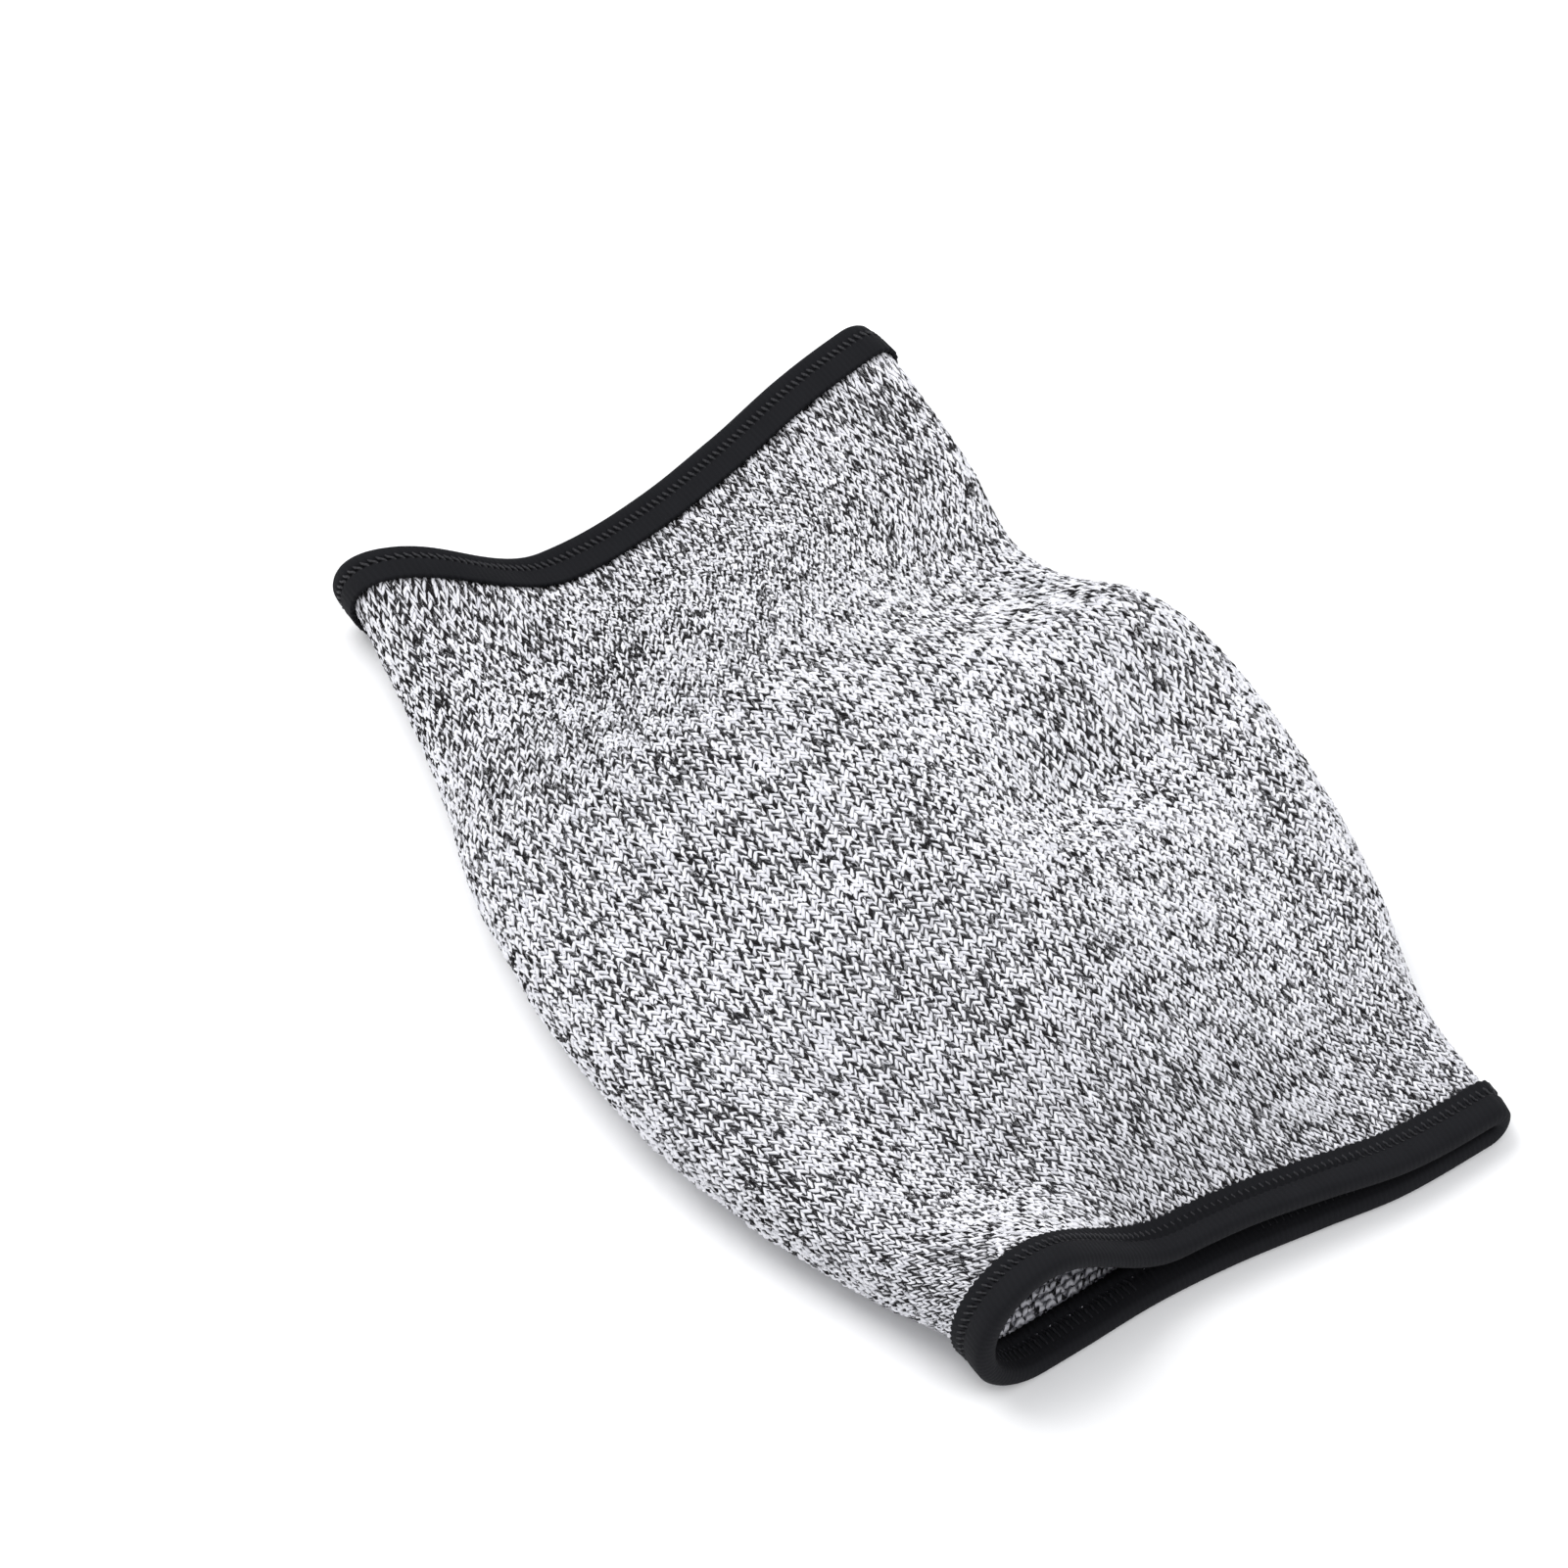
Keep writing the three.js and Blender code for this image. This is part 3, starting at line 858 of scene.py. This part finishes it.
@dataclass(frozen=True)
class ElasticTape(Finish):
    """Near-black elastic, finely ribbed across its width, with a little white lint."""

    black: tuple[float, ...] = (0.0050, 0.0052, 0.0066, 1)
    worn: tuple[float, ...] = (0.0105, 0.0108, 0.013, 1)
    lint: tuple[float, ...] = (0.4, 0.4, 0.42, 1)
    rib: float = 0.00105
    lint_spacing: float = 0.011
    rib_relief: float = 0.00004
    weave_relief: float = 0.00009

    def look(self, nodes: Nodes) -> tuple[Socket, Socket | None]:
        """Returns the colour and the ribs' relief."""
        place = from_map(nodes, CLOTH_MAP)
        u, v, _ = nodes.parts(place)
        ribs = nodes.wave(u / self.rib)
        weave = nodes.noise(nodes.vector(u, v * 0.35, 0.0), 4200.0, 2.0)
        patch = nodes.noise(place, 160.0, 2.0)
        colour = nodes.blend(ribs * 0.2 + patch * 0.5, self.black, self.worn)
        speck = nodes.node(
            "ShaderNodeTexVoronoi", None, {"Vector": place, "Scale": 1.0 / self.lint_spacing}
        )
        colour = nodes.blend(1.0 - nodes.step(0.008, 0.016, speck), colour, self.lint)
        return colour, ribs * self.rib_relief + weave * self.weave_relief


@dataclass(frozen=True)
class BindingThread(Finish):
    """Black sewing thread, a little glossier than the tape."""

    black: tuple[float, ...] = (0.008, 0.008, 0.010, 1)
    worn: tuple[float, ...] = (0.02, 0.02, 0.024, 1)
    relief: float = 0.00004

    def look(self, nodes: Nodes) -> tuple[Socket, Socket | None]:
        """Returns the twisted thread's colour and relief."""
        along, around = value_from(nodes, "along"), value_from(nodes, "round")
        twist = nodes.wave(along * 3.0 + around)
        return nodes.blend(twist, self.black, self.worn), twist * self.relief


@dataclass(frozen=True)
class PaleFloor(Finish):
    """The plain pale table."""

    pale: tuple[float, ...] = (0.97, 0.97, 0.975, 1)

    def look(self, nodes: Nodes) -> tuple[Socket, Socket | None]:
        """Returns a colour that varies too little to be seen."""
        place = nodes.node("ShaderNodeTexCoord", output="Object")
        tint = tuple(0.995 * c for c in self.pale[:3]) + (1,)
        return nodes.blend(nodes.noise(place, 2.0), self.pale, tint), None


@dataclass
class KnitBody:
    """The knitted tube: a fine wall that carries the loops of its face."""

    shape: SleeveShape
    wall: float = 1.5
    sunk: float = 0.45
    edge: float = 1.3
    columns: int = 168
    rows: int = 104
    wale: float = 2.25
    course: float = 1.34
    near_crowding: float = 0.25
    leg_length: float = 2.15
    near_shorter: float = 0.85
    far_longer: float = 1.2
    yarn_radius: float = 0.42
    inner_aside: float = 750
    rim_aside: float = 1500
    batches: int = 5
    wales: int = 150
    lowest_lean: float = -0.3
    drift: float = 1.4
    drift_scale: float = 90.0
    slip: tuple[float, ...] = (0.06, 0.1, 0.0)
    leg_turn: tuple[float, ...] = (0.07, 0.07, 0.12)
    least_swell: tuple[float, ...] = (0.95, 0.9, 0.85)
    most_swell: tuple[float, ...] = (1.05, 1.1, 1.2)
    purl_reach: float = 46
    purl_wale: float = 3.1
    purl_course: float = 1.75
    purl_radius: float = 0.62
    purl_lowest_lean: float = -0.1
    purl_turn: tuple[float, ...] = (0.1, 0.1, 0.16)
    seed: int = 4

    def wall_mesh(self) -> bpy.types.Mesh:
        """Returns the fine wall, its outer face sunk below the loops."""
        froms = np.linspace(self.edge, self.shape.length - self.edge, self.rows)
        outer, inner = np.full(self.rows, -self.sunk), np.full(self.rows, -self.wall)
        along = np.concatenate([froms, froms[::-1]]) / self.shape.length
        outward = np.concatenate([outer, inner])
        places, distances = self.shape.around(along, self.columns)
        distances *= self.wales * self.wale / np.ptp(distances, axis=1, keepdims=True)
        points = self.shape.points(along[:, None], places, outward[:, None])
        share = froms / self.shape.length
        mapped = froms * (1 + self.near_crowding * (1 - share))
        strips = [Strip(OUTER_ASIDE, a, b) for a, b in zip(mapped, mapped[1:])]
        strips.append(Strip(self.rim_aside, 0, self.sunk))
        strips += [Strip(self.inner_aside, b, a) for a, b in zip(mapped[::-1][1:], mapped[::-1])]
        strips.append(Strip(self.rim_aside, self.wall, 2 * self.wall))
        mesh = closed_mesh("knit_wall", points, distances, strips)
        lean = np.empty(len(mesh.vertices) * 3, dtype=np.float32)
        mesh.vertex_normals.foreach_get("vector", lean)
        under = 1 - soft_step(self.lowest_lean, self.lowest_lean + 0.1, lean[2::3])
        kept = mesh.attributes.new("under", "FLOAT", "POINT")
        kept.data.foreach_set("value", under.astype(np.float32))
        return mesh

    def grid(self, tree: GeometryTree) -> tuple[Socket, Socket, Socket]:
        """Lays out the loops that can be seen.

        Args:
            tree: a tree that gets the named sizes of the grid.

        Returns:
            Points on the map, with their wale and course in loop, and the spacing of both.
        """
        wales, courses = tree.size("Wales", "Int"), tree.size("Courses", "Int")
        wale, course = tree.size("Wale"), tree.size("Course")
        first, aside = tree.size("First from the end"), tree.size("Aside")
        across, along_map = wale * (wales - 1.0), course * (courses - 1.0)
        grid = tree.node(
            "GeometryNodeMeshGrid",
            None,
            {"Size X": across, "Size Y": along_map, "Vertices X": wales, "Vertices Y": courses},
        )
        x, y, _ = tree.parts(tree.position)
        place = tree.vector(x + aside, y + along_map * 0.5 + first, 0.0)
        grid = tree.moved(grid, "Position", place)
        x, y, _ = tree.parts(tree.position)
        loop = tree.vector((x - aside) / wale + FIRST_COLUMN, y / course, 0.0)
        grid = tree.kept(grid, "loop", loop, "FLOAT_VECTOR")
        drift = tree.node(
            "ShaderNodeTexNoise",
            None,
            {"Vector": tree.position, "Scale": self.drift_scale, "Detail": 1.0},
            output="Color",
        )
        drift = tree.vectors("SUBTRACT", drift, (0.5, 0.5, 0.5))
        drift = tree.vectors("MULTIPLY", drift, (self.drift * METRES, self.drift * METRES, 0.0))
        slip = tree.vectors("MULTIPLY", tree.sway(self.slip, 31), tree.vector(wale, course, 0.0))
        grid = tree.moved(grid, "Offset", tree.vectors("ADD", drift, slip))
        return tree.seen(grid, tree.size("Lowest lean")), wale, course

    def purl_tree(self) -> GeometryTree:
        """Returns the tree that lays the purl bumps of the wrong side onto the wall."""
        tree = GeometryTree("purl_bumps")
        grid, wale, course = self.grid(tree)
        radius, seed = tree.size("Yarn radius"), tree.size("Seed", "Int")
        share = tree.node("GeometryNodeSplineParameter")
        bow = share * (1.0 - share) * 4.0
        path = tree.vector((share - 0.5) * wale * 1.05, bow * course * 0.55, (bow - 0.6) * radius)
        bump = tree.strand(4, 3, path, share, radius, bow * 0.45 + 0.6)
        turn = tree.sway(self.purl_turn, seed)
        tree.finish(tree.spread(grid, bump, turn))
        return tree

    def purls(self, wall: bpy.types.Mesh, material: bpy.types.Material) -> list[bpy.types.Object]:
        """Returns the purl bumps inside the sleeve that show through its two mouths."""
        tree = self.purl_tree()
        courses = int(self.purl_reach / self.purl_course)
        last = self.shape.length - 2 * self.edge - courses * self.purl_course
        made = []
        for end, first in ((End.NEAR, 2 * self.edge), (End.FAR, last)):
            sizes = {
                "Wales": int(self.wales * self.wale / self.purl_wale),
                "Courses": courses,
                "Wale": self.purl_wale * METRES,
                "Course": self.purl_course * METRES,
                "First from the end": first * METRES,
                "Aside": self.inner_aside * METRES,
                "Yarn radius": self.purl_radius * METRES,
                "Lowest lean": self.purl_lowest_lean,
                "Seed": self.seed,
                "Material": material,
            }
            made.append(tree.grow(f"{end.value}_purl_bumps", wall, sizes))
        return made

    def loops_tree(self) -> GeometryTree:
        """Returns the tree that knits the face's loops onto the wall."""
        tree = GeometryTree("knit_loops")
        grid, wale, _ = self.grid(tree)
        length, radius = tree.size("Leg length"), tree.size("Yarn radius")
        seed = tree.size("Seed", "Int")
        share = tree.node("GeometryNodeSplineParameter")
        eased = share * share * (3.0 - 2.0 * share)
        knit = tree.node("GeometryNodeJoinGeometry")
        reach = tree.parts(tree.named("loop"))[1] * (self.course / self.shape.length)
        reach = reach * (self.far_longer - self.near_shorter) + self.near_shorter
        for side, hand in ((0.0, -1.0), (1.0, 1.0)):
            path = tree.vector(
                (eased * 0.44 + 0.04) * wale * hand,
                (share - 0.5) * length,
                (0.1 + 1.2 * share - 1.9 * share * share) * radius,
            )
            width = 0.55 + 1.8 * share * (1.0 - share)
            leg = tree.strand(4, 4, path, share, radius, width)
            leg = tree.kept(leg, "side", side)
            turn = tree.sway(self.leg_turn, seed + 2.0 * side)
            swell = tree.chance(self.least_swell, self.most_swell, seed + 1.0 + 2.0 * side)
            swell = tree.vectors("MULTIPLY", swell, tree.vector(1.0, reach, 1.0))
            legs = tree.spread(grid, leg, turn, swell)
            tree.tree.links.new(legs.output, knit.output.node.inputs[0])
        tree.finish(knit)
        return tree

    def loops(self, wall: bpy.types.Mesh, material: bpy.types.Material) -> list[bpy.types.Object]:
        """Returns the loops of the face, in batches along the sleeve."""
        tree = self.loops_tree()
        start, end = self.edge + self.leg_length, self.shape.length - self.edge - self.leg_length
        courses = int((end - start) / self.course)
        cuts = [round(courses * i / self.batches) for i in range(self.batches + 1)]
        made = []
        for number, (low, high) in enumerate(zip(cuts, cuts[1:]), 1):
            sizes = {
                "Wales": self.wales,
                "Courses": high - low,
                "Wale": self.wale * METRES,
                "Course": self.course * METRES,
                "First from the end": (start + low * self.course) * METRES,
                "Aside": OUTER_ASIDE * METRES,
                "Leg length": self.leg_length * METRES,
                "Yarn radius": self.yarn_radius * METRES,
                "Lowest lean": self.lowest_lean,
                "Seed": self.seed + number,
                "Material": material,
            }
            made.append(tree.grow(f"knit_loops_{number}", wall, sizes))
        return made

    def build(self) -> list[bpy.types.Object]:
        """Returns the wall and the loops on it."""
        mesh = self.wall_mesh()
        mesh.materials.append(KnitGround("knit_ground", roughness=0.95, specular=0.15).material())
        yarn = MarlYarn("marl_yarn", roughness=0.85, specular=0.15).material()
        purl = PurlYarn("purl_yarn", roughness=0.85, specular=0.2).material()
        return [linked("knit_wall", mesh), *self.loops(mesh, yarn), *self.purls(mesh, purl)]


@dataclass
class Binding:
    """An elastic tape folded over an open end, with two rows of zigzag stitches."""

    shape: SleeveShape
    end: End
    knit_wall: float = 1.5
    tape: float = 0.8
    clearance: float = 0.3
    columns: int = 860
    seam: float = 5.5
    puff: float = 0.3
    tuck: float = 0.3
    tuck_width: float = 0.55
    notch: float = 0.55
    notch_width: float = 0.75
    scallop: float = 0.14
    frill_rise: float = 0.06
    stitch: float = 1.35
    lowest_lean: float = -0.75
    thread_radius: float = 0.27
    thread_length: float = 1.7
    thread_turn: float = 0.38
    turn_luck: float = 0.12
    girth_at: float = 0.03
    sewn_share: float = 0.97
    unsewn: float = 6
    seed: int = 7
    rest_skin: float = 0.02
    seam_places: list[float] = field(default_factory=list)

    def profile(self) -> tuple[np.ndarray, np.ndarray, np.ndarray, np.ndarray]:
        """Returns the section's distances from the end, distances out of the knit, runs along
        the section, and shares of the scallops."""
        thick = self.tape + self.clearance
        middle, outer = -self.knit_wall / 2, self.knit_wall / 2 + thick
        inner = self.knit_wall / 2 + self.clearance
        width, seam = self.shape.binding_width, self.seam
        near_seam = seam + np.array([1.2, 0.8, 0.5, 0.25, 0, -0.25, -0.5, -0.8, -1.2])
        froms = np.array([width, width - 0.12, width - 0.5, *near_seam, seam / 2, thick])
        bulge = self.puff * np.sin(np.pi * np.clip(froms / width, 0, 1)) ** 0.7
        bulge -= self.tuck * np.exp(-(((froms - seam) / self.tuck_width) ** 2))
        bulge[0] -= 0.25
        turn = np.linspace(0, np.pi, 9)[1:-1]
        fold = np.stack([thick - thick * np.sin(turn), middle + outer * np.cos(turn)], -1)
        legs = np.stack([froms, middle + outer + bulge], -1)
        behind = np.array([thick, seam / 2, *(seam + np.array([-0.8, -0.4, 0, 0.4, 0.8])), width])
        back = np.stack([behind, np.full(len(behind), middle - outer)], -1)
        inside = [(width, middle - inner), (thick, middle - inner)]
        inside += [(thick - self.clearance, middle), (thick, middle + inner)]
        inside += [(width, middle + inner)]
        rows = np.concatenate([legs, fold, back, np.array(inside)])
        closed = np.concatenate([rows, rows[:1]])
        run = np.concatenate([[0], np.cumsum(np.linalg.norm(np.diff(closed, axis=0), axis=1))])
        skin = slice(len(legs) + len(fold), len(legs) + len(fold) + len(back))
        self.seam_places[:] = [
            float(np.interp(-seam, -froms, run[: len(froms)])),
            float(np.interp(seam, behind, run[skin])),
        ]
        frill = np.exp(-((width - rows[:, 0]) / 0.5))
        return rows[:, 0], rows[:, 1], run, frill

    def mesh(self) -> bpy.types.Mesh:
        """Returns the folded tape."""
        froms, outward, run, frill = self.profile()
        dent = np.exp(-(((froms - self.seam) / self.notch_width) ** 2))
        dent *= np.where(outward > 0, self.notch, -self.notch)
        if self.end is End.NEAR:
            froms, outward, frill, dent = froms[::-1], outward[::-1], frill[::-1], dent[::-1]
            run = run[-1] - run[::-1]
            self.seam_places[:] = [float(run[-1] - place) for place in self.seam_places]
        along = froms / self.shape.length
        if self.end is End.FAR:
            along = 1 - along
        places, distances = self.shape.around(along, self.columns)
        wave = -np.cos(FULL_TURN * distances[:, :-1] / self.stitch)
        sign = 1 if self.end is End.NEAR else -1
        wavy = along[:, None] + sign * self.scallop * wave * frill[:, None] / self.shape.length
        height = outward[:, None] + self.frill_rise * wave * frill[:, None]
        height -= dent[:, None] * (0.5 + 0.5 * wave)
        points = self.shape.points(wavy, places, height)
        points[..., 2] = np.maximum(points[..., 2], self.rest_skin)
        strips = [Strip(OUTER_ASIDE, a, b) for a, b in zip(run, run[1:])]
        return closed_mesh(f"{self.end.value}_tape", points, distances, strips)

    def thread_tree(self) -> GeometryTree:
        """Returns the tree that lays one row of zigzag stitches on the tape."""
        tree = GeometryTree(f"{self.end.value}_zigzag")
        count, pitch = tree.size("Stitches", "Int"), tree.size("Stitch")
        aside, place = tree.size("Aside"), tree.size("Place across")
        length, radius, turn = tree.size("Length"), tree.size("Thread radius"), tree.size("Turn")
        row = tree.node(
            "GeometryNodeMeshLine",
            None,
            {
                "Count": count,
                "Start Location": tree.vector(aside - pitch * (count - 1.0) * 0.5, place, 0.0),
                "Offset": tree.vector(pitch, 0.0, 0.0),
            },
        )
        row = tree.seen(row, tree.size("Lowest lean"))
        share = tree.node("GeometryNodeSplineParameter")
        path = tree.vector(
            0.0, (share - 0.5) * length, (3.6 * share * (1.0 - share) - 0.2) * radius
        )
        stitch = tree.strand(5, 6, path, share, radius, 0.6 + 1.6 * share * (1.0 - share))
        seed = tree.size("Seed", "Int")
        luck = {2: -self.turn_luck, 3: self.turn_luck, "Seed": seed}
        jitter = tree.node("FunctionNodeRandomValue", {"data_type": "FLOAT"}, luck, 1)
        tree.finish(tree.spread(row, stitch, tree.vector(0.0, 0.0, turn + jitter)))
        return tree

    def build(self, tape: bpy.types.Material, thread: bpy.types.Material) -> list[bpy.types.Object]:
        """Returns the tape and its two rows of stitches."""
        mesh = self.mesh()
        mesh.materials.append(tape)
        along = self.girth_at if self.end is End.NEAR else 1 - self.girth_at
        around = self.shape.around(np.array([along]), 8)[1]
        sewn = np.ptp(around) * self.sewn_share - self.unsewn
        tree = self.thread_tree()
        made = [linked(f"{self.end.value}_tape", mesh)]
        for name, place in zip(("outer", "inner"), self.seam_places):
            sizes = {
                "Stitches": int(sewn / self.stitch),
                "Stitch": self.stitch * METRES,
                "Aside": OUTER_ASIDE * METRES,
                "Place across": place * METRES,
                "Length": self.thread_length * METRES,
                "Thread radius": self.thread_radius * METRES,
                "Turn": self.thread_turn,
                "Lowest lean": self.lowest_lean,
                "Seed": self.seed,
                "Material": thread,
            }
            made.append(tree.grow(f"{self.end.value}_{name}_zigzag", mesh, sizes))
        return made


@dataclass
class Studio:
    """The pale table, soft lights and the camera at the photograph's angle."""

    azimuth: float = -31.0
    elevation: float = 48.0
    lens: float = 150.0
    sensor: float = 36.0
    view_width: float = 0.2809
    target: tuple[float, float, float] = (0.00825, -0.00073, 0.0)
    target_at: tuple[float, float] = (0.58589, 0.54466)
    table_reach: float = 3.0
    room: tuple[float, ...] = (0.97, 0.98, 1.0, 1)
    room_strength: float = 0.85

    def camera(self) -> None:
        """Sets the camera, with the target at its place in the picture."""
        azimuth, elevation = math.radians(self.azimuth), math.radians(self.elevation)
        back = Vector(
            (
                math.sin(azimuth) * math.cos(elevation),
                -math.cos(azimuth) * math.cos(elevation),
                math.sin(elevation),
            )
        )
        right = Vector((math.cos(azimuth), math.sin(azimuth), 0))
        up = back.cross(right)
        distance = self.view_width * self.lens / self.sensor
        aside = (self.target_at[0] - 0.5) * self.view_width
        below = (self.target_at[1] - 0.5) * self.view_width
        data = bpy.data.cameras.new("camera")
        data.lens, data.sensor_width = self.lens, self.sensor
        data.clip_start, data.clip_end = 0.05, 20
        made = bpy.data.objects.new("camera", data)
        made.matrix_world = Matrix((right, up, back)).transposed().to_4x4()
        made.location = Vector(self.target) - right * aside + up * below + back * distance
        bpy.context.scene.collection.objects.link(made)
        bpy.context.scene.camera = made

    def light(self, name: str, place: Sequence[float], size: float, power: float) -> None:
        """Adds a soft square lamp that faces the sleeve."""
        data = bpy.data.lights.new(name, "AREA")
        data.shape, data.size, data.energy = "SQUARE", size, power
        made = bpy.data.objects.new(name, data)
        made.location = place
        made.rotation_euler = Vector(place).to_track_quat("Z", "Y").to_euler()
        bpy.context.scene.collection.objects.link(made)

    def build(self) -> None:
        """Adds the table, the lights and the camera."""
        mesh = bpy.data.meshes.new("table")
        reach = self.table_reach
        corners = [(-reach, -reach, 0), (reach, -reach, 0), (reach, reach, 0), (-reach, reach, 0)]
        mesh.from_pydata(corners, [], [(0, 1, 2, 3)])
        mesh.materials.append(PaleFloor("pale_table", roughness=0.9).material())
        linked("table", mesh)
        world = bpy.data.worlds.new("soft_room")
        world.use_nodes = True
        background = world.node_tree.nodes["Background"]
        background.inputs["Color"].default_value = self.room
        background.inputs["Strength"].default_value = self.room_strength
        bpy.context.scene.world = world
        self.light("overhead", (-0.5, 0.9, 1.6), 1.4, 26)
        self.light("front", (0.6, -1.2, 1.3), 1.2, 9)
        bpy.context.scene.view_settings.view_transform = "Standard"
        bpy.context.scene.view_settings.look = "None"
        self.camera()


def centred(pieces: Sequence[bpy.types.Object], lead: bpy.types.Object, node: str) -> None:
    """Moves the pieces' meshes so that the lead piece is centred on its CAD node."""
    low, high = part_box(node)
    points = np.empty(len(lead.data.vertices) * 3)
    lead.data.vertices.foreach_get("co", points)
    points = points.reshape(-1, 3)
    middle = (points.min(axis=0) + points.max(axis=0)) / 2
    shift = [(low[i] + high[i]) / 2 - middle[i] for i in (0, 1)] + [0]
    for piece in pieces:
        piece.data.transform(Matrix.Translation(shift))


def main() -> None:
    """Builds the sleeve's pieces and the studio, in order."""
    logging.basicConfig(level=logging.INFO, format="%(message)s")
    shape = SleeveShape()
    knit = KnitBody(shape).build()
    tape = ElasticTape("elastic_tape", roughness=0.88, specular=0.14).material()
    thread = BindingThread("binding_thread", roughness=0.6, specular=0.35).material()
    near = Binding(shape, End.NEAR).build(tape, thread)
    far = Binding(shape, End.FAR, seam=3.5).build(tape, thread)
    centred([*knit, *near, *far], knit[0], "knit_body")
    for piece in [*knit, *near, *far]:
        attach(piece, "root")
        LOG.info("%s: %d faces", piece.name, len(piece.data.polygons))
    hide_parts("knit_body")
    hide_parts("near_binding")
    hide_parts("far_binding")
    Studio().build()


if __name__ == "__main__":
    main()
